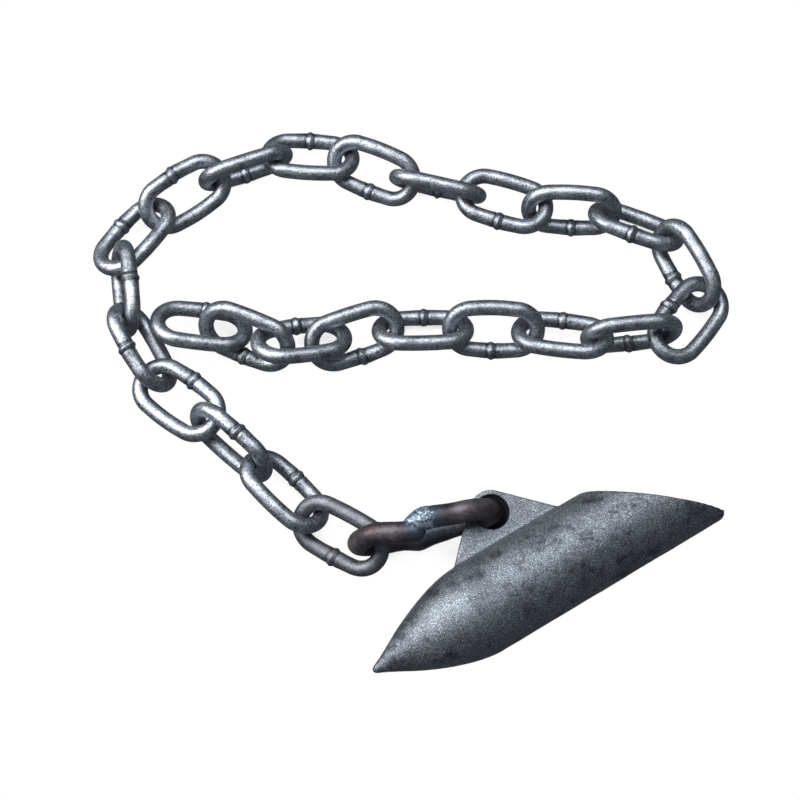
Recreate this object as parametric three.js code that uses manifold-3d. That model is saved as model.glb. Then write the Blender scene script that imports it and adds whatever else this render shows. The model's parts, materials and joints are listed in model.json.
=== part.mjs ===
// A driven ground anchor with its chain. The anchor body is one casting: a pointed cylinder with a
// slanted tail and a pierced lug on its flank. A heavy joining link passes through the lug, and
// twenty-five welded links follow it, lying in a loose S on the ground.
// Millimetres, +Z up, origin on the ground under the middle of the whole assembly.

import * as THREE from 'three';
import { mergeVertices } from 'three/addons/utils/BufferGeometryUtils.js';
import Module from 'manifold-3d';

const wasm = await Module();
wasm.setup();

// ---- driving dimensions ----

// anchor body, measured along its axis from the nose tip
const bodyRadius = 19.5;
const noseLength = 49;
const noseFullness = 1.6;
const noseTipRadius = 1.6;
const bodyLength = 160.5;
const tailBluntness = 2.8;
const bevelAngle = 38.3;
const bodySides = 36;
const noseSteps = 9;
const noseCrowding = 1.5;

// blind socket for the driving rod, bored along the axis from the bevel
const socketRadius = 8;
const socketDepth = 42;
const socketSides = 24;

// lug: a plate on the flank with a round top and sloping sides
const lugStation = 75;
const holeHeight = 31;
const holeRadius = 7;
const lugTopRadius = 9.4;
const lugSlope = 45;
const lugThickness = 8;
const lugRoot = 12;
const lugSegments = 14;

// where the body lies
const noseTip = [-11, -122.7];
const bodyHeading = 30.75;
const bodyRoll = 5;

// joining link
const joiningWire = 9.5;
const joiningLength = 66;
const joiningWidth = 33;
const joiningWeldSwell = 1.5;
const joiningWeldLength = 16;

// chain link
const chainWire = 7;
const chainLength = 45.5;
const chainWidth = 26.7;
const chainWeldSwell = 0.6;
const chainWeldLength = 6;

// where the rounds of a weld's swelling sit, as shares of its length from its middle
const weldFoot = 0.5;
const weldCrest = 0.25;

const wireSides = 8;
const crownSteps = 6;

const mergeDistance = 1e-3;

// colours
const castIron = { color: 0x4b4f55, roughness: 0.62, metalness: 0.75 };
const tintedSteel = { color: 0x4a3f47, roughness: 0.5, metalness: 0.8 };
const chainSteel = { color: 0x6f747c, roughness: 0.34, metalness: 0.9 };

// How the links lie, in order from the anchor: the centre of the link, the direction it points,
// its lean about that direction and its pitch, in degrees. Lean 0 is flat, and a positive lean
// lifts the bar on the left. The last word is the bar that carries the weld.
const joiningPose = [10, -63, 19.5, 192, -93, -10, 'right'];
const chainPoses = [
  [-25, -64, 10.5, 150, -34, -5, 'left'],
  [-49, -45, 11.5, 136, 35, 5, 'right'],
  [-72, -24, 14, 139, -71, 3, 'right'],
  [-95, -5, 14.5, 143, -8, -2, 'right'],
  [-112, 19, 15.5, 120, 53, 7, 'left'],
  [-121, 47, 15, 99, -69, -1, 'right'],
  [-119, 74, 11.5, 54, -22, -3, 'left'],
  [-97, 94, 13.5, 33, 41, 7, 'left'],
  [-70, 107, 14, 22, -79, -4, 'left'],
  [-41, 114, 11.5, 358, -18, -3, 'left'],
  [-12, 107, 11.5, 337, 44, -1, 'right'],
  [17, 98, 13.25, 346, -70, 0, 'left'],
  [47, 91, 12.5, 342, 1, 1, 'right'],
  [77, 86, 13.5, 355, 67, 4, 'right'],
  [106, 79, 11.5, 338, -40, 0, 'right'],
  [127, 59, 13, 297, 62, -4, 'right'],
  [127, 34, 10, 232, -11, 2, 'right'],
  [101, 26, 14, 186, -86, 0, 'left'],
  [71, 26, 12, 170, 29, -7, 'right'],
  [41, 29, 11.5, 178, -47, -1, 'left'],
  [10, 29, 10.5, 182, 35, 1, 'right'],
  [-20, 26, 11, 197, -40, -6, 'left'],
  [-43, 23, 13.5, 193, 29, 13, 'right'],
  [-67, 25, 13, 158, -51, 2, 'left'],
  [-87, 30, 12.5, 177, 24, 10, 'right'],
];

// ---- helpers ----

const radians = THREE.MathUtils.degToRad;

function toSolid(geometry) {
  const bare = geometry.clone();
  bare.deleteAttribute('normal');
  bare.deleteAttribute('uv');
  const merged = mergeVertices(bare, mergeDistance);
  return new wasm.Manifold(new wasm.Mesh({
    numProp: 3,
    vertProperties: Float32Array.from(merged.attributes.position.array),
    triVerts: Uint32Array.from(merged.index.array),
  }));
}

function fromSolid(solid) {
  const mesh = solid.getMesh();
  const geometry = new THREE.BufferGeometry();
  geometry.setAttribute('position', new THREE.BufferAttribute(mesh.vertProperties, 3));
  geometry.setIndex(new THREE.BufferAttribute(mesh.triVerts, 1));
  geometry.computeVertexNormals();
  return geometry;
}

function namedMesh(name, geometry, finish) {
  const mesh = new THREE.Mesh(geometry, new THREE.MeshStandardMaterial(finish));
  mesh.name = name;
  return mesh;
}

// ---- anchor body ----

function bodyBlank() {
  const profile = [new THREE.Vector2(0, 0)];
  for (let step = 0; step <= noseSteps; step += 1) {
    const along = noseLength * (step / noseSteps) ** noseCrowding;
    const radius = bodyRadius * (1 - (1 - along / noseLength) ** noseFullness);
    profile.push(new THREE.Vector2(Math.max(radius, noseTipRadius), along));
  }
  profile.push(new THREE.Vector2(bodyRadius, bodyLength));
  profile.push(new THREE.Vector2(0, bodyLength));
  const geometry = new THREE.LatheGeometry(profile, bodySides);
  geometry.rotateZ(-Math.PI / 2);
  return geometry;
}

function lugPlate() {
  const slope = radians(lugSlope);
  const foot = (lugTopRadius + (holeHeight - lugRoot) * Math.sin(slope)) / Math.cos(slope);
  const outline = new THREE.Shape();
  outline.moveTo(lugStation - foot, lugRoot);
  outline.lineTo(lugStation + foot, lugRoot);
  outline.absarc(lugStation, holeHeight, lugTopRadius, slope, Math.PI - slope, false);
  outline.closePath();
  const hole = new THREE.Path();
  hole.absarc(lugStation, holeHeight, holeRadius, 0, 2 * Math.PI, true);
  outline.holes.push(hole);
  const settings = { depth: lugThickness, bevelEnabled: false, curveSegments: lugSegments };
  const geometry = new THREE.ExtrudeGeometry(outline, settings);
  geometry.translate(0, 0, -lugThickness / 2);
  return geometry;
}

// The bevel takes the lug side off the tail and leaves the far side as the cutting edge.
function bevelCutter() {
  const size = 4 * bodyRadius;
  const geometry = new THREE.BoxGeometry(2 * size, size, size);
  geometry.translate(0, size / 2, 0);
  geometry.rotateZ(-radians(bevelAngle));
  geometry.translate(bodyLength, -bodyRadius, 0);
  return geometry;
}

function tailCutter() {
  const size = 4 * bodyRadius;
  const geometry = new THREE.BoxGeometry(size, size, size);
  geometry.translate(bodyLength - tailBluntness + size / 2, 0, 0);
  return geometry;
}

function socketCutter() {
  const bevelAtAxis = bodyLength - bodyRadius / Math.tan(radians(bevelAngle));
  const length = socketDepth + 2 * bodyRadius;
  const geometry = new THREE.CylinderGeometry(socketRadius, socketRadius, length, socketSides);
  geometry.rotateZ(Math.PI / 2);
  geometry.translate(bevelAtAxis - socketDepth + length / 2, 0, 0);
  return geometry;
}

function anchorBody() {
  const solid = toSolid(bodyBlank())
    .add(toSolid(lugPlate()))
    .subtract(toSolid(bevelCutter()))
    .subtract(toSolid(tailCutter()))
    .subtract(toSolid(socketCutter()));
  const mesh = namedMesh('anchor_body', fromSolid(solid), castIron);
  mesh.position.set(noseTip[0], noseTip[1], bodyRadius);
  mesh.rotation.set(radians(bodyRoll), 0, radians(bodyHeading), 'ZYX');
  return mesh;
}

// ---- links ----

// Places along the wire, counterclockwise: the right bar, the front crown, the left bar and the
// back crown. Each has a centre, the outward direction in the link's plane and the wire's radius.
function linkStations(wire, length, width, swell, weldLength, weldSide) {
  const crown = (width - wire) / 2;
  const straight = (length - wire) / 2 - crown;
  const stations = [];
  for (const end of [1, -1]) {
    const side = end === 1 ? 'right' : 'left';
    if (side === weldSide) {
      for (const share of [-weldFoot, -weldCrest, weldCrest, weldFoot]) {
        const bulge = Math.abs(share) === weldCrest ? swell : 0;
        stations.push({
          x: end * share * weldLength,
          y: -end * crown,
          turn: -end * 90,
          radius: wire / 2 + bulge,
        });
      }
    }
    for (let step = 0; step <= crownSteps; step += 1) {
      const turn = -90 * end + (180 * step) / crownSteps;
      const angle = radians(turn);
      stations.push({
        x: end * straight + crown * Math.cos(angle),
        y: crown * Math.sin(angle),
        turn,
        radius: wire / 2,
      });
    }
  }
  return stations;
}

function closedWire(stations) {
  const positions = [];
  const index = [];
  const rings = stations.length;
  stations.forEach((station, ring) => {
    const outward = radians(station.turn);
    for (let side = 0; side < wireSides; side += 1) {
      const around = (2 * Math.PI * side) / wireSides;
      const reach = station.radius * Math.cos(around);
      positions.push(station.x + reach * Math.cos(outward));
      positions.push(station.y + reach * Math.sin(outward));
      positions.push(station.radius * Math.sin(around));
      const next = (side + 1) % wireSides;
      const here = ring * wireSides;
      const ahead = ((ring + 1) % rings) * wireSides;
      index.push(here + side, ahead + side, ahead + next);
      index.push(here + side, ahead + next, here + next);
    }
  });
  const geometry = new THREE.BufferGeometry();
  geometry.setAttribute('position', new THREE.Float32BufferAttribute(positions, 3));
  geometry.setIndex(index);
  geometry.computeVertexNormals();
  return geometry;
}

function placeLink(mesh, pose) {
  const [x, y, z, heading, lean, pitch] = pose;
  mesh.position.set(x, y, z);
  mesh.rotation.set(radians(lean), -radians(pitch), radians(heading), 'ZYX');
  return mesh;
}

function joiningLink() {
  const weldSide = joiningPose[6];
  const stations = linkStations(
    joiningWire, joiningLength, joiningWidth, joiningWeldSwell, joiningWeldLength, weldSide,
  );
  const mesh = namedMesh('joining_link', closedWire(stations), tintedSteel);
  return placeLink(mesh, joiningPose);
}

function chainLink(pose, order) {
  const stations = linkStations(
    chainWire, chainLength, chainWidth, chainWeldSwell, chainWeldLength, pose[6],
  );
  const name = `chain_link_${String(order + 1).padStart(2, '0')}`;
  return placeLink(namedMesh(name, closedWire(stations), chainSteel), pose);
}

// ---- assembly ----

const lay = new THREE.Group();
lay.add(anchorBody());
lay.add(joiningLink());
chainPoses.forEach((pose, order) => lay.add(chainLink(pose, order)));

// The whole assembly is moved so that the ground under its middle is the origin.
const box = new THREE.Box3().setFromObject(lay, true);
const middle = box.getCenter(new THREE.Vector3());
lay.position.set(-middle.x, -middle.y, -box.min.z);

const anchor = new THREE.Group();
anchor.add(lay);

export default anchor;
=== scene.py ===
"""A driven ground anchor with its joining link and welded chain, lying on a pale floor."""
import json
import math

import bpy
import bmesh
import numpy as np
from mathutils import Matrix, Vector, noise


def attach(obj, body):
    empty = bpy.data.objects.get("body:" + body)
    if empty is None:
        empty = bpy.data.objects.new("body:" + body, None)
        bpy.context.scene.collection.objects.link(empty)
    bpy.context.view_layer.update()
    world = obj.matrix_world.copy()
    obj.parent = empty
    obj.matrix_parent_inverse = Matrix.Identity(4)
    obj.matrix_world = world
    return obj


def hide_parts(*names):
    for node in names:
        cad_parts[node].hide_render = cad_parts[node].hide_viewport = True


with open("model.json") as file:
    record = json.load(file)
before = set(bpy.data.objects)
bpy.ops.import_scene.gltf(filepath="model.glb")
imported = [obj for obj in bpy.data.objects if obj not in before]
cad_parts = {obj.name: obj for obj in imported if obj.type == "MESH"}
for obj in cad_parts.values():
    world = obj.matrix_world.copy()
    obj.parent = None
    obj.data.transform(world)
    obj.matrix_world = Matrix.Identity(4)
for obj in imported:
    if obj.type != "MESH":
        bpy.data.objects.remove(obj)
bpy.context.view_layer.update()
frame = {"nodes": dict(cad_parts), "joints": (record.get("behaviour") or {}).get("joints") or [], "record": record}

MM = 0.001

# ---- sizes, in millimetres ----

# anchor body, along its axis from the nose tip
BODY_RADIUS = 19.5
NOSE_LENGTH = 49.0
NOSE_FULLNESS = 1.6
NOSE_TIP_RADIUS = 1.5
NOSE_TIP_FADE = 4.0
BODY_LENGTH = 160.5
TAIL_BLUNTNESS = 2.8
BEVEL_ANGLE = math.radians(38.3)
SOCKET_RADIUS = 8.0
SOCKET_DEPTH = 42.0
LUG_STATION = 75.0
HOLE_HEIGHT = 31.0
HOLE_RADIUS = 7.0
LUG_TOP_RADIUS = 9.4
LUG_SLOPE = 45.0
LUG_THICKNESS = 8.0
LUG_ROOT = 12.0

# the casting's surface: how fine it is, and its unevenness as height and waves per millimetre
CAST_VOXEL = 0.55
CAST_SMOOTHING = 6
CAST_WAVES = ((0.12, 0.12), (0.05, 0.7))
# painted shade on the wall of the lug's hole: how far past its rim it reaches, and over how much it fades
BORE_SHADE_DEPTH = 0.6
BORE_SHADE_FADE = 0.4

# links: wire, outer length, outer width, and how much of the wire's thickness wear has left
JOINING_LINK = (9.5, 66.0, 33.0)
JOINING_WORN_SHARE = 0.96
CHAIN_LINK = (7.0, 45.5, 26.7)
CHAIN_WORN_SHARE = 0.975
CROWN_WEAR = 0.02

# a chain link's weld: a sharp ridge on a low hump, and a groove on each side
RIDGE_WIDTH = 0.8
HUMP_HEIGHT = 0.3
HUMP_WIDTH = 3.4
GROOVE_DEPTH = 0.22
GROOVE_PLACE = 1.9
GROOVE_WIDTH = 0.45
STEP_WIDTH = 0.8

# how far the joining link's weld has dulled the chain link next to it
FIRST_LINK_DULL = 0.6

# the joining link's lap, along X: where each end stops, how far its end is rounded, and how far
# apart the two lie
LAP_UNDER = -1.5
UNDER_ROUND = 4.0
LAP_OVER = 7.0
OVER_ROUND = 11.0
LAP_SIDE = 2.4

# the joining link's swellings and sideways bend, as height, place along X and width
LOWER_SWELLS = ((1.25, 5.0, 4.6), (0.5, -6.0, 6.0))
LOWER_BEND = (0.9, 3.0, 8.0)
OVER_SWELL = (0.4, -0.5, 5.0)

# the heat that its weld has left, the same way; the weld itself has straighter sides
UNDER_HEAT = (0.34, 2.0, 6.0)
LOWER_HEAT = (0.32, -4.0, 9.0)
OVER_HEATS = ((0.3, -8.0, 4.0), (0.3, -21.0, 2.0))
WELD_PLACE = 0.5
WELD_WIDTH = 6.0
WELD_LUMPS = 0.5

# ---- stage, in metres ----

# a painted shadow on the floor under the lug, seen down through the lug's hole, and only from
# above: where it begins and ends to fade, its place from the hole, and the steepness where it
# begins and ends to show
LUG_SHADE = (0.009, 0.011)
LUG_SHADE_PLACE = (0.003, 0.006)
LUG_SHADE_STEEPNESS = (0.7, 0.85)

# painted shade in the floor's gaps: how shut in it has to be to look dark, from none to all of its glow
GAP_REACH = 0.04
GAP_GLOW = (0.06, 0.24)

FLOOR_SIZE = 3.0

# lights: place, aim, width, power in watts and colour
KEY_LIGHT = ((-0.62, 0.08, 0.6), (-0.05, 0.0, 0.0), 0.55, 10.0, (1.0, 0.99, 0.97))
TOP_LIGHT = ((0.0, 0.3, 0.95), (0.0, 0.0, 0.0), 0.7, 7.5, (0.95, 0.98, 1.0))
FILL_COLOUR = (0.82, 0.9, 1.0, 1.0)
FILL_STRENGTH = 0.165

# camera, round the point on the floor that the view is centred on
VIEW_ELEVATION = math.radians(70.3)
VIEW_DISTANCE = 0.6993
VIEW_CENTRE = Vector((-0.0043, -0.0015, 0.0))
VIEW_LENS = 71.6
SENSOR_WIDTH = 36.0


# ---- node helpers ----

class Nodes:
    """A short way to write a material's node tree."""

    def __init__(self, material):
        material.use_nodes = True
        self.tree = material.node_tree
        self.tree.nodes.clear()

    def add(self, kind, settings=None, **inputs):
        node = self.tree.nodes.new(kind)
        for name, value in (settings or {}).items():
            setattr(node, name, value)
        for name, value in inputs.items():
            self.put(node.inputs[name.replace("_", " ")], value)
        return node

    def put(self, socket, value):
        """Link a socket, or set it to a number or a colour."""
        if isinstance(value, bpy.types.NodeSocket):
            self.tree.links.new(value, socket)
        elif isinstance(value, tuple) and len(socket.default_value) == len(value) + 1:
            socket.default_value = (*value, 1.0)
        else:
            socket.default_value = value

    def attribute(self, name):
        return self.add("ShaderNodeAttribute", {"attribute_name": name}).outputs["Fac"]

    def place(self):
        return self.add("ShaderNodeTexCoord").outputs["Object"]

    def noise(self, where, scale, detail=2.0, rough=0.5):
        node = self.add("ShaderNodeTexNoise", Vector=where, Scale=scale, Detail=detail,
                        Roughness=rough)
        return node.outputs["Fac"]

    def ramp(self, factor, stops):
        node = self.add("ShaderNodeValToRGB", Fac=factor)
        elements = node.color_ramp.elements
        while len(elements) < len(stops):
            elements.new(0.5)
        for element, (place, colour) in zip(elements, stops):
            element.position = place
            element.color = (*colour, 1.0)
        return node.outputs["Color"]

    def level(self, factor, low, high, low_out=0.0, high_out=1.0):
        node = self.add("ShaderNodeMapRange", Value=factor, From_Min=low, From_Max=high,
                        To_Min=low_out, To_Max=high_out)
        return node.outputs["Result"]

    def mix(self, factor, first, second, blend="MIX"):
        node = self.add("ShaderNodeMix", {"data_type": "RGBA", "blend_type": blend})
        colours = [s for s in node.inputs if s.type == "RGBA"]
        self.put(node.inputs["Factor"], factor)
        self.put(colours[0], first)
        self.put(colours[1], second)
        return [s for s in node.outputs if s.type == "RGBA"][0]

    def math(self, operation, first, second):
        node = self.add("ShaderNodeMath", {"operation": operation})
        self.put(node.inputs[0], first)
        self.put(node.inputs[1], second)
        return node.outputs["Value"]

    def bump(self, height, strength, distance, under=None):
        node = self.add("ShaderNodeBump", Height=height, Strength=strength, Distance=distance)
        if under is not None:
            self.put(node.inputs["Normal"], under)
        return node.outputs["Normal"]

    def principled(self, colour, metallic, roughness, normal):
        return self.add("ShaderNodeBsdfPrincipled", Base_Color=colour, Metallic=metallic,
                        Roughness=roughness, Normal=normal)

    def finish(self, surface):
        output = self.add("ShaderNodeOutputMaterial")
        self.tree.links.new(surface, output.inputs["Surface"])


# ---- materials ----

def cast_iron():
    """Blasted grey iron: fine bright grain, dull blotches and stains, and painted shade darkening the wall of the
    lug's hole.
    """
    material = bpy.data.materials.new("cast_iron")
    nodes = Nodes(material)
    place = nodes.place()
    grain = nodes.noise(place, 2300.0, 3.0, 0.7)
    fine = nodes.noise(place, 3600.0, 1.0)
    blotch = nodes.noise(place, 60.0, 5.0, 0.7)
    stain = nodes.noise(place, 170.0, 5.0, 0.75)
    colour = nodes.ramp(grain, [
        (0.36, (0.05, 0.056, 0.07)),
        (0.5, (0.155, 0.17, 0.192)),
        (0.6, (0.33, 0.362, 0.4)),
        (0.68, (0.68, 0.735, 0.8)),
    ])
    dull = nodes.level(blotch, 0.5, 0.64, 0.0, 0.5)
    colour = nodes.mix(dull, colour, (0.05, 0.054, 0.068))
    stains = nodes.math("MULTIPLY", nodes.level(stain, 0.51, 0.6),
                        nodes.level(blotch, 0.43, 0.55, 0.0, 0.75))
    colour = nodes.mix(stains, colour, (0.035, 0.038, 0.05))
    # painted shade: the wall of the lug's hole is coloured near black
    colour = nodes.mix(nodes.attribute("bore_soot"), colour, (0.012, 0.012, 0.015))
    rough = nodes.level(fine, 0.3, 0.7, 0.44, 0.6)
    normal = nodes.bump(grain, 0.5, 0.0003)
    normal = nodes.bump(fine, 0.3, 0.0002, normal)
    nodes.finish(nodes.principled(colour, 0.9, rough, normal).outputs["BSDF"])
    return material


def chain_steel():
    """Tumbled bright steel: a soft sheen, a mottled grey, dark pits and scale at the weld."""
    material = bpy.data.materials.new("chain_steel")
    nodes = Nodes(material)
    place = nodes.place()
    cloud = nodes.noise(place, 140.0, 5.0, 0.65)
    grain = nodes.noise(place, 1400.0, 3.0, 0.65)
    pits = nodes.noise(place, 900.0, 2.0, 0.6)
    base = nodes.ramp(cloud, [
        (0.3, (0.16, 0.175, 0.2)),
        (0.5, (0.3, 0.32, 0.355)),
        (0.72, (0.44, 0.47, 0.52)),
    ])
    mottle = nodes.level(grain, 0.34, 0.66, 0.45, 1.5)
    base = nodes.mix(1.0, base, mottle, "MULTIPLY")
    pit = nodes.level(pits, 0.31, 0.39, 0.2, 1.0)
    colour = nodes.mix(pit, (0.025, 0.027, 0.034), base)
    ragged = nodes.math("MULTIPLY", nodes.attribute("weld_scale"),
                        nodes.level(pits, 0.3, 0.6, 0.5, 1.0))
    colour = nodes.mix(ragged, colour, (0.03, 0.032, 0.04))
    dull = nodes.attribute("heat_dull")
    colour = nodes.mix(dull, colour, (0.1, 0.095, 0.11))
    rough = nodes.level(grain, 0.3, 0.7, 0.37, 0.52)
    rough = nodes.math("ADD", rough, nodes.math("MULTIPLY", dull, 0.2))
    normal = nodes.bump(grain, 0.3, 0.0003)
    normal = nodes.bump(pits, 0.3, 0.0003, normal)
    nodes.finish(nodes.principled(colour, 1.0, rough, normal).outputs["BSDF"])
    return material


def tinted_steel():
    """Bar with dull purple brown scale, and the blue and silver of a weld where it was heated."""
    material = bpy.data.materials.new("tinted_steel")
    nodes = Nodes(material)
    place = nodes.place()
    heat = nodes.attribute("weld_heat")
    cloud = nodes.noise(place, 90.0, 4.0, 0.6)
    grain = nodes.noise(place, 1100.0, 3.0, 0.65)
    coarse = nodes.noise(place, 900.0, 3.0, 0.7)
    scale = nodes.ramp(cloud, [
        (0.34, (0.035, 0.033, 0.04)),
        (0.5, (0.085, 0.066, 0.073)),
        (0.66, (0.15, 0.14, 0.16)),
    ])
    mottle = nodes.level(grain, 0.3, 0.7, 0.6, 1.4)
    scale = nodes.mix(1.0, scale, mottle, "MULTIPLY")
    beads = nodes.ramp(coarse, [
        (0.36, (0.03, 0.045, 0.06)),
        (0.5, (0.15, 0.2, 0.25)),
        (0.66, (0.5, 0.6, 0.68)),
    ])
    ragged = nodes.math("ADD", heat, nodes.level(coarse, 0.3, 0.7, -0.25, 0.25))
    blued = nodes.mix(nodes.level(ragged, 0.12, 0.42), scale, (0.05, 0.075, 0.105))
    colour = nodes.mix(nodes.level(ragged, 0.5, 0.75), blued, beads)
    rough = nodes.level(grain, 0.3, 0.7, 0.44, 0.64)
    normal = nodes.bump(grain, 0.3, 0.0004)
    normal = nodes.bump(coarse, nodes.level(heat, 0.3, 0.8, 0.05, 0.4), 0.0005, normal)
    nodes.finish(nodes.principled(colour, 0.8, rough, normal).outputs["BSDF"])
    return material


def floor_paint():
    """White paint that glows a little, so that it stays evenly white and only the tightest gaps over it look dark,
    as painted shade.

    Where it is plain white it is clear, so links that swing below it at a limit are still seen.
    """
    material = bpy.data.materials.new("floor_paint")
    nodes = Nodes(material)
    place = nodes.place()
    faint = nodes.noise(place, 300.0)
    colour = nodes.ramp(faint, [(0.3, (0.9, 0.9, 0.9)), (0.7, (0.93, 0.93, 0.93))])
    # painted shade: the floor's glow fades where it is shut in by parts over it
    gap = nodes.add("ShaderNodeAmbientOcclusion", {"samples": 8}, Distance=GAP_REACH)
    glow = nodes.level(gap.outputs["AO"], *GAP_GLOW)

    hole = lug_hinge()["pos_m"]
    under_lug = (hole[0] + LUG_SHADE_PLACE[0], hole[1] + LUG_SHADE_PLACE[1], 0.0)
    away = nodes.add("ShaderNodeVectorMath", {"operation": "DISTANCE"})
    nodes.put(away.inputs[0], place)
    nodes.put(away.inputs[1], under_lug)
    incoming = nodes.add("ShaderNodeNewGeometry").outputs["Incoming"]
    steepness = nodes.add("ShaderNodeSeparateXYZ", Vector=incoming).outputs["Z"]
    # painted shadow under the lug: near black colour and no glow, shown only to steep views down through the hole
    lit = nodes.math("MAXIMUM", nodes.level(away.outputs["Value"], *LUG_SHADE),
                     nodes.level(steepness, *LUG_SHADE_STEEPNESS, 1.0, 0.0))
    glow = nodes.math("MULTIPLY", glow, lit)
    colour = nodes.mix(lit, (0.004, 0.004, 0.005), colour)

    paint = nodes.principled(colour, 0.0, 0.8, nodes.bump(faint, 0.02, 0.0002))
    nodes.put(paint.inputs["Specular IOR Level"], 0.0)
    # the glow fades in tight gaps as painted shade, and under the lug as painted shadow
    nodes.put(paint.inputs["Emission Color"], (1.0, 1.0, 1.0))
    nodes.put(paint.inputs["Emission Strength"], glow)
    clear = nodes.add("ShaderNodeBsdfTransparent")
    mixer = nodes.add("ShaderNodeMixShader", Fac=glow)
    nodes.tree.links.new(paint.outputs["BSDF"], mixer.inputs[1])
    nodes.tree.links.new(clear.outputs["BSDF"], mixer.inputs[2])
    nodes.finish(mixer.outputs["Shader"])
    return material


# ---- mesh helpers ----

def new_piece(name, vertices, faces, material):
    mesh = bpy.data.meshes.new(name)
    mesh.from_pydata(vertices, [], faces)
    mesh.materials.append(material)
    mesh.shade_smooth()
    piece = bpy.data.objects.new(name, mesh)
    bpy.context.scene.collection.objects.link(piece)
    return piece


def place_piece(piece, matrix, node):
    """Put a piece where its CAD node is, on that node's body."""
    piece.data.transform(matrix)
    keep_above_floor(piece.data)
    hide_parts(node)
    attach(piece, node)


def keep_above_floor(mesh):
    """Flatten whatever a swelling or bow pushes under the floor."""
    places = np.empty(3 * len(mesh.vertices), np.float32)
    mesh.vertices.foreach_get("co", places)
    places[2::3] = np.maximum(places[2::3], 0.0)
    mesh.vertices.foreach_set("co", places)
    mesh.update()


def point_values(mesh, name, values):
    layer = mesh.attributes.new(name, "FLOAT", "POINT")
    layer.data.foreach_set("value", values)


def apply_modifiers(piece):
    graph = bpy.context.evaluated_depsgraph_get()
    made = bpy.data.meshes.new_from_object(piece.evaluated_get(graph))
    piece.modifiers.clear()
    old = piece.data
    piece.data = made
    bpy.data.meshes.remove(old)


# ---- curves ----

def bell(value, middle, width, power=2):
    """One at the middle, falling smoothly to nothing on both sides."""
    return math.exp(-((value - middle) / width) ** power)


def hump(value, shape):
    height, middle, width = shape
    return height * bell(value, middle, width)


def ease(value):
    """A smooth step from 0 to 1."""
    value = min(max(value, 0.0), 1.0)
    return value * value * (3 - 2 * value)


def round_end(distance, length):
    """The share of a bar's radius at a distance from its rounded end."""
    return math.sqrt(1 - (1 - distance / length) ** 2) if distance < length else 1.0


def wobble(rng, waves, size):
    """A smooth random function of an angle, about size high."""
    parts = [(k, rng.uniform(0, 2 * math.pi), rng.uniform(0.5, 1.0)) for k in waves]
    total = sum(p[2] for p in parts)
    return lambda angle: size * sum(a * math.sin(k * angle + s) for k, s, a in parts) / total


# ---- links ----

def lug_hinge():
    return [j for j in frame["joints"] if j["child"] == "joining_link"][0]


def link_pose(node, away=None):
    """A link's own frame, from its CAD solid: X along it, Z across its plane, and its weld on -Y.

    Where a point is given, X runs away from it.
    """
    points = np.array([v.co for v in frame["nodes"][node].data.vertices]) / MM
    centre = points.mean(0)
    axes = np.linalg.eigh(np.cov((points - centre).T))[1]
    along = axes[:, 2]
    across = axes[:, 1]
    local = (points - centre) @ np.stack([along, across], 1)
    crowns = local[np.abs(local[:, 0]) > 0.25 * np.ptp(local[:, 0])]
    middle = (crowns.max(0) + crowns.min(0)) / 2
    centre = centre + along * middle[0] + across * middle[1]
    if middle[1] < 0:
        across = -across
    if away is not None and along @ (centre * MM - np.array(away)) < 0:
        along = -along
    normal = np.cross(along, across)
    matrix = Matrix([[*row] for row in np.stack([along, across, normal], 1)]).to_4x4()
    matrix.translation = Vector(centre * MM)
    return matrix


def link_reach(size):
    """How far a link's crowns curve round, and how far its bars run from the middle."""
    wire, length, width = size
    crown = (width - wire) / 2
    return crown, (length - wire) / 2 - crown


def wire_places(size, crown_steps, bar_steps):
    """Rounds of a closed link: X, Y of the wire's centre and the outward direction's angle."""
    crown, straight = link_reach(size)
    places = []
    for end in (1, -1):
        for step in range(bar_steps):
            share = -1 + 2 * step / bar_steps
            places.append((end * share * straight, -end * crown, -end * math.pi / 2))
        for step in range(crown_steps):
            angle = end * -math.pi / 2 + math.pi * step / crown_steps
            x = end * straight + crown * math.cos(angle)
            places.append((x, crown * math.sin(angle), angle))
    return places


def tube_point(x, y, outward, around, radius, drift):
    """A point on a wire, in metres: round its centre line, which has drifted out and aside."""
    reach = radius * math.cos(around) + drift[0]
    return (
        (x + reach * math.cos(outward)) * MM,
        (y + reach * math.sin(outward)) * MM,
        (radius * math.sin(around) + drift[1]) * MM,
    )


def tube_faces(rings, sides, closed):
    faces = []
    for ring in range(rings if closed else rings - 1):
        here = ring * sides
        ahead = (ring + 1) % rings * sides
        for side in range(sides):
            following = (side + 1) % sides
            faces.append((here + side, ahead + side, ahead + following, here + following))
    return faces


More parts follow.
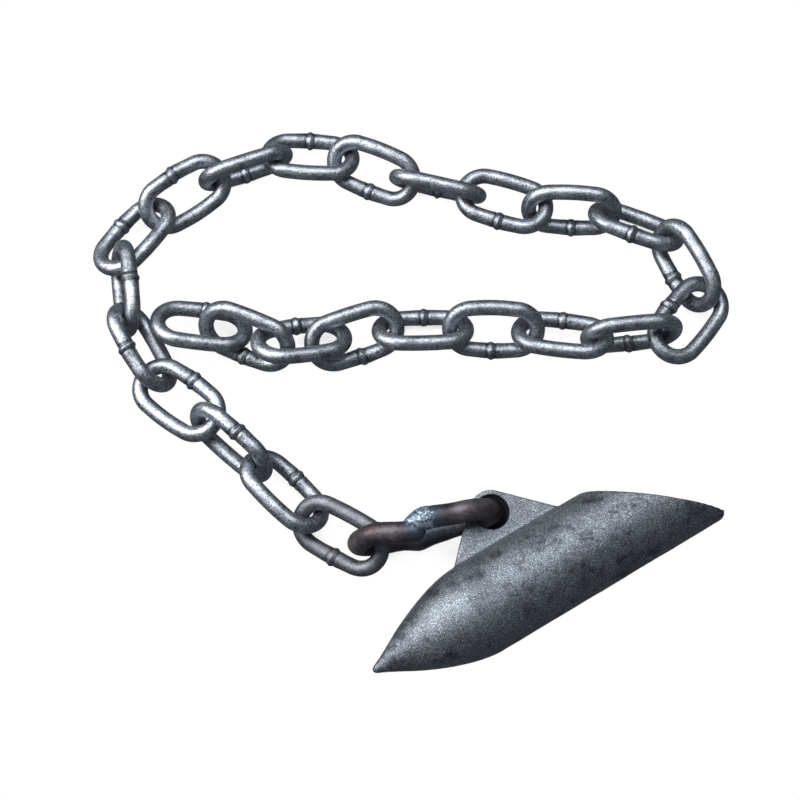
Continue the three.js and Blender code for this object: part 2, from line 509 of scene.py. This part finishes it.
def chain_link(node, order, material):
    rng = np.random.default_rng(700 + order)
    wire = CHAIN_WORN_SHARE * CHAIN_LINK[0] / 2
    straight = link_reach(CHAIN_LINK)[1]
    weld_x = rng.uniform(-1.6, 1.6)
    ridge = wobble(rng, (1, 2, 3, 5), 0.5)
    lump = wobble(rng, (1, 2, 4, 7), 0.4)
    dent = wobble(rng, (1, 2, 3), 0.06)
    crest = rng.uniform(0.3, 0.5)
    offset = rng.uniform(-0.3, 0.3)
    bow = rng.uniform(0.25, 0.55)

    def on_weld_bar(x, y):
        return y < -wire and abs(x) < straight + 0.01

    def radius_at(x, y, outward, around):
        radius = wire * (1 - CROWN_WEAR * math.cos(around) * abs(math.cos(outward)))
        radius += dent(outward + around)
        if on_weld_bar(x, y):
            near = x - weld_x
            radius += crest * (1 + ridge(around)) * bell(near, 0, RIDGE_WIDTH)
            radius += HUMP_HEIGHT * (1 + lump(around)) * bell(near, 0, HUMP_WIDTH)
            radius -= GROOVE_DEPTH * bell(abs(near), GROOVE_PLACE, GROOVE_WIDTH)
        return radius

    def drift_at(x, y):
        """The bow of both bars, and the small step where the two halves meet at the weld."""
        arch = bow * max(1 - (x / straight) ** 2, 0) if abs(y) > wire else 0.0
        if not on_weld_bar(x, y):
            return arch, 0.0
        fade = max(1 - abs(x) / straight, 0)
        step = math.tanh((x - weld_x) / STEP_WIDTH) * offset * fade
        return arch + step, -0.6 * step

    def scale_at(x, y):
        """Dark scale beside the weld: two thin lines and a faint band."""
        if y >= -wire:
            return 0.0
        near = x - weld_x
        lines = bell(abs(near), GROOVE_PLACE, GROOVE_WIDTH)
        return 0.75 * lines + 0.25 * bell(near, 0, 4.5, 4)

    sides = 28
    places = wire_places(CHAIN_LINK, 26, 60)
    vertices = []
    for x, y, outward in places:
        drift = drift_at(x, y)
        for step in range(sides):
            around = 2 * math.pi * step / sides
            radius = radius_at(x, y, outward, around)
            vertices.append(tube_point(x, y, outward, around, radius, drift))
    piece = new_piece(f"{node}_wire", vertices, tube_faces(len(places), sides, True), material)
    scale = np.repeat([scale_at(x, y) for x, y, _ in places], sides)
    point_values(piece.data, "weld_scale", scale)
    dull = FIRST_LINK_DULL if order == 0 else 0.0
    point_values(piece.data, "heat_dull", np.full(len(vertices), dull))
    place_piece(piece, link_pose(node), node)


def joining_path():
    """The joining link's bar: an open loop whose two ends lie side by side and are welded.

    Each place has X, Y, the outward angle, a sideways shift, the radius and the heat it has seen.
    """
    crown, straight = link_reach(JOINING_LINK)
    radius = JOINING_WORN_SHARE * JOINING_LINK[0] / 2
    near_bar, far_bar = -math.pi / 2, math.pi / 2
    places = []

    def add_crown(centre, first_angle):
        for angle in np.linspace(first_angle, first_angle + math.pi, 30, endpoint=False):
            x = centre + crown * math.cos(angle)
            places.append((x, crown * math.sin(angle), angle, 0.0, radius, 0.0))

    # the under end, from below the lap to the front crown
    for x in np.linspace(LAP_UNDER, straight, 44, endpoint=False):
        y = -crown + 0.9 * (1 - ease((x - 2) / 14))
        side = LAP_SIDE * (1 - ease((x - 4) / 16))
        end = round_end(x - LAP_UNDER + 0.2, UNDER_ROUND)
        places.append((x, y, near_bar, side, radius * end, hump(x, UNDER_HEAT)))
    add_crown(straight, near_bar)

    # the lower bar, with its own swelling
    for x in np.linspace(straight, -straight, 60, endpoint=False):
        swell = sum(hump(x, shape) for shape in LOWER_SWELLS)
        side = hump(x, LOWER_BEND)
        places.append((x, crown, far_bar, side, radius + swell, hump(x, LOWER_HEAT)))
    add_crown(-straight, far_bar)

    # the over end, swollen and tapering down on to the lap
    for x in np.linspace(-straight, LAP_OVER, 70):
        aside = ease((x + 18) / 16)
        settle = ease((x + 2) / (LAP_OVER + 2))
        side = LAP_SIDE * (0.3 * settle - 0.45 * aside)
        end = round_end(LAP_OVER - x + 0.1, OVER_ROUND)
        heat = bell(x, WELD_PLACE, WELD_WIDTH, 4) + sum(hump(x, shape) for shape in OVER_HEATS)
        y = -crown - 0.6 * aside
        places.append((x, y, near_bar, side, (radius + hump(x, OVER_SWELL)) * end, heat))
    return places


def joining_link(material):
    rng = np.random.default_rng(41)
    dent = wobble(rng, (1, 2, 3), 0.1)
    scale = wobble(rng, (3, 5, 7), 0.05)
    places = joining_path()
    sides = 36
    vertices = []
    heats = []
    for x, y, outward, side, radius, heat in places:
        for step in range(sides):
            around = 2 * math.pi * step / sides
            spot = Vector((x * 0.45, 3 * math.cos(around), 3 * math.sin(around)))
            lumps = WELD_LUMPS * heat * noise.noise(spot)
            uneven = dent(outward + around) + scale(x * 0.8 + around) + 0.6 * lumps
            rim = radius * (1 + uneven / 5)
            vertices.append(tube_point(x, y, outward, around, rim, (0.0, side)))
            heats.append(heat)
    faces = tube_faces(len(places), sides, False)
    faces.append(tuple(range(sides)))
    faces.append(tuple(range(len(vertices) - 1, len(vertices) - sides - 1, -1)))
    piece = new_piece("joining_link_bar", vertices, faces, material)
    point_values(piece.data, "weld_heat", heats)
    pose = link_pose("joining_link", away=lug_hinge()["pos_m"])
    place_piece(piece, pose, "joining_link")


# ---- anchor body ----

def body_frame():
    """The casting's own frame, from its hinge and bevel face: X up the axis, Y out at the lug."""
    hinge = lug_hinge()
    bevel = [m for m in frame["record"]["mounts"] if m["name"] == "tail_bevel"][0]
    lug_normal = Vector(hinge["axis"]).normalized()
    if lug_normal.z < 0:
        lug_normal = -lug_normal
    bevel_normal = Vector(bevel["axis"]).normalized()
    slope = bevel_normal.cross(lug_normal)
    along = math.sin(BEVEL_ANGLE) * bevel_normal + math.cos(BEVEL_ANGLE) * slope
    outward = lug_normal.cross(along)
    hole = Vector(hinge["pos_m"])
    origin = hole - along * LUG_STATION * MM - outward * HOLE_HEIGHT * MM
    matrix = Matrix([[along[i], outward[i], lug_normal[i]] for i in range(3)]).to_4x4()
    matrix.translation = origin
    return matrix


def nose_radius(along):
    """The ogive's radius, with a round tip that fades out behind it."""
    share = min(along / NOSE_LENGTH, 1.0)
    radius = BODY_RADIUS * (1 - (1 - share) ** NOSE_FULLNESS)
    round_tip = math.sqrt(2 * NOSE_TIP_RADIUS * along) * math.exp(-along / NOSE_TIP_FADE)
    return math.hypot(radius, round_tip)


def lathe(stations, sides):
    """A closed solid of revolution about X, through stations of X and radius."""
    vertices = []
    for along, radius in stations:
        for side in range(sides):
            angle = 2 * math.pi * side / sides
            vertices.append((along, radius * math.cos(angle), radius * math.sin(angle)))
    faces = tube_faces(len(stations), sides, False)
    for end, (along, _) in ((0, stations[0]), (len(stations) - 1, stations[-1])):
        tip = len(vertices)
        vertices.append((along, 0.0, 0.0))
        rim = end * sides
        faces += [(tip, rim + side, rim + (side + 1) % sides) for side in range(sides)]
    return vertices, faces


def solid(name, vertices, faces):
    """A plain working solid in millimetres, with its faces turned outward."""
    mesh = bpy.data.meshes.new(name)
    mesh.from_pydata(vertices, [], faces)
    form = bmesh.new()
    form.from_mesh(mesh)
    bmesh.ops.recalc_face_normals(form, faces=form.faces)
    form.to_mesh(mesh)
    form.free()
    piece = bpy.data.objects.new(name, mesh)
    bpy.context.scene.collection.objects.link(piece)
    return piece


def prism(name, outline, low, high):
    """A straight prism: an outline in X and Y, from Z low to Z high."""
    count = len(outline)
    vertices = [(x, y, low) for x, y in outline] + [(x, y, high) for x, y in outline]
    faces = [tuple(range(count)), tuple(range(2 * count - 1, count - 1, -1))]
    for i in range(count):
        j = (i + 1) % count
        faces.append((i, j, j + count, i + count))
    return solid(name, vertices, faces)


def arc(radius, angles):
    """Points on a circle about the lug's hole."""
    return [(LUG_STATION + radius * math.cos(a), HOLE_HEIGHT + radius * math.sin(a))
            for a in angles]


def combine(piece, other, operation):
    modifier = piece.modifiers.new(operation, "BOOLEAN")
    modifier.operation = operation
    modifier.solver = "MANIFOLD"
    modifier.object = other
    apply_modifiers(piece)
    bpy.data.objects.remove(other)


def casting_solid():
    """The sharp casting in its own frame: turned body, lug, hole, bevel, blunt tip and socket."""
    stations = [NOSE_TIP_RADIUS * (step / 6) ** 2 for step in range(6)]
    stations += list(np.linspace(NOSE_TIP_RADIUS, NOSE_LENGTH, 40))
    stations += list(np.linspace(NOSE_LENGTH + 4, BODY_LENGTH + 2, 30))
    stations = [(along, max(nose_radius(along), 0.05)) for along in stations]
    casting = solid("anchor_body_casting", *lathe(stations, 128))

    slope = math.radians(LUG_SLOPE)
    foot = (LUG_TOP_RADIUS + (HOLE_HEIGHT - LUG_ROOT) * math.sin(slope)) / math.cos(slope)
    outline = [(LUG_STATION - foot, LUG_ROOT), (LUG_STATION + foot, LUG_ROOT)]
    outline += arc(LUG_TOP_RADIUS, np.linspace(slope, math.pi - slope, 25))
    combine(casting, prism("lug", outline, -LUG_THICKNESS / 2, LUG_THICKNESS / 2), "UNION")

    circle = arc(HOLE_RADIUS, np.linspace(0, 2 * math.pi, 48, endpoint=False))
    combine(casting, prism("hole", circle, -LUG_THICKNESS, LUG_THICKNESS), "DIFFERENCE")

    reach = 4 * BODY_RADIUS
    fall = math.tan(BEVEL_ANGLE)
    edge = -BODY_RADIUS
    wedge = [
        (BODY_LENGTH + reach, edge - reach * fall),
        (BODY_LENGTH + reach, edge + 2 * reach),
        (BODY_LENGTH - reach, edge + 2 * reach),
        (BODY_LENGTH - reach, edge + reach * fall),
    ]
    combine(casting, prism("bevel", wedge, -reach, reach), "DIFFERENCE")

    cut = BODY_LENGTH - TAIL_BLUNTNESS
    block = [(cut, -reach), (cut + reach, -reach), (cut + reach, reach), (cut, reach)]
    combine(casting, prism("blunt", block, -reach, reach), "DIFFERENCE")

    mouth = BODY_LENGTH - BODY_RADIUS / fall
    bore = [(mouth - SOCKET_DEPTH, SOCKET_RADIUS), (mouth + reach, SOCKET_RADIUS)]
    combine(casting, solid("socket", *lathe(bore, 64)), "DIFFERENCE")
    return casting


def soften(casting):
    """Remesh evenly, so that every edge comes out a little round."""
    remesh = casting.modifiers.new("even", "REMESH")
    remesh.mode = "VOXEL"
    remesh.voxel_size = CAST_VOXEL
    smooth = casting.modifiers.new("soften", "SMOOTH")
    smooth.factor = 0.5
    smooth.iterations = CAST_SMOOTHING
    apply_modifiers(casting)


def roughen(mesh):
    """Lift the surface by a low unevenness, and mark where shade is painted on the wall of the lug's hole."""
    places = np.empty(3 * len(mesh.vertices), np.float32)
    normals = np.empty_like(places)
    mesh.vertices.foreach_get("co", places)
    mesh.vertex_normals.foreach_get("vector", normals)
    places = places.reshape(-1, 3)
    lift = [sum(height * noise.noise(Vector(place) * rate) for height, rate in CAST_WAVES)
            for place in places.tolist()]
    places += normals.reshape(-1, 3) * np.array(lift, np.float32)[:, None]
    mesh.vertices.foreach_set("co", places.ravel())
    # painted shade on the wall of the lug's hole, full up to a little past its rim
    from_axis = np.hypot(places[:, 0] - LUG_STATION, places[:, 1] - HOLE_HEIGHT)
    shade_in_bore = np.clip((HOLE_RADIUS + BORE_SHADE_DEPTH - from_axis) / BORE_SHADE_FADE, 0, 1)
    point_values(mesh, "bore_soot", shade_in_bore)


def anchor_body(material):
    casting = casting_solid()
    soften(casting)
    roughen(casting.data)
    casting.data.materials.clear()
    casting.data.materials.append(material)
    casting.data.shade_smooth()
    place_piece(casting, body_frame() @ Matrix.Scale(MM, 4), "anchor_body")


# ---- floor, light and camera ----

def floor():
    corners = [(x * FLOOR_SIZE, y * FLOOR_SIZE, 0.0)
               for x, y in ((-1, -1), (1, -1), (1, 1), (-1, 1))]
    plane = new_piece("floor", corners, [(0, 1, 2, 3)], floor_paint())
    plane.visible_glossy = False
    plane.visible_diffuse = False


def softbox(name, place, aim, width, power, colour):
    data = bpy.data.lights.new(name, "AREA")
    data.shape = "DISK"
    data.size = width
    data.energy = power
    data.color = colour
    light = bpy.data.objects.new(name, data)
    light.location = place
    light.rotation_euler = (Vector(aim) - Vector(place)).to_track_quat("-Z", "Y").to_euler()
    bpy.context.scene.collection.objects.link(light)


def studio():
    """Two soft lights, a plain white backdrop for the camera and a dim blue fill for the rest."""
    softbox("key", *KEY_LIGHT)
    softbox("top", *TOP_LIGHT)
    world = bpy.data.worlds.new("studio")
    bpy.context.scene.world = world
    world.use_nodes = True
    tree = world.node_tree
    tree.nodes.clear()
    path = tree.nodes.new("ShaderNodeLightPath")
    backdrop = tree.nodes.new("ShaderNodeBackground")
    backdrop.inputs["Color"].default_value = (1, 1, 1, 1)
    fill = tree.nodes.new("ShaderNodeBackground")
    fill.inputs["Color"].default_value = FILL_COLOUR
    fill.inputs["Strength"].default_value = FILL_STRENGTH
    mixer = tree.nodes.new("ShaderNodeMixShader")
    output = tree.nodes.new("ShaderNodeOutputWorld")
    tree.links.new(path.outputs["Is Camera Ray"], mixer.inputs["Fac"])
    tree.links.new(fill.outputs["Background"], mixer.inputs[1])
    tree.links.new(backdrop.outputs["Background"], mixer.inputs[2])
    tree.links.new(mixer.outputs["Shader"], output.inputs["Surface"])
    bpy.context.scene.view_settings.view_transform = "Standard"


def camera():
    data = bpy.data.cameras.new("camera")
    data.lens = VIEW_LENS
    data.sensor_width = SENSOR_WIDTH
    data.clip_start = 0.01
    eye = bpy.data.objects.new("camera", data)
    back = Vector((0, -math.cos(VIEW_ELEVATION), math.sin(VIEW_ELEVATION)))
    eye.location = VIEW_CENTRE + back * VIEW_DISTANCE
    eye.rotation_euler = back.to_track_quat("Z", "Y").to_euler()
    bpy.context.scene.collection.objects.link(eye)
    bpy.context.scene.camera = eye


# ---- make everything ----

camera()
studio()
floor()
anchor_body(cast_iron())
joining_link(tinted_steel())
steel = chain_steel()
chain_nodes = sorted(n for n in frame["nodes"] if n.startswith("chain_link_"))
for order, node in enumerate(chain_nodes):
    chain_link(node, order, steel)
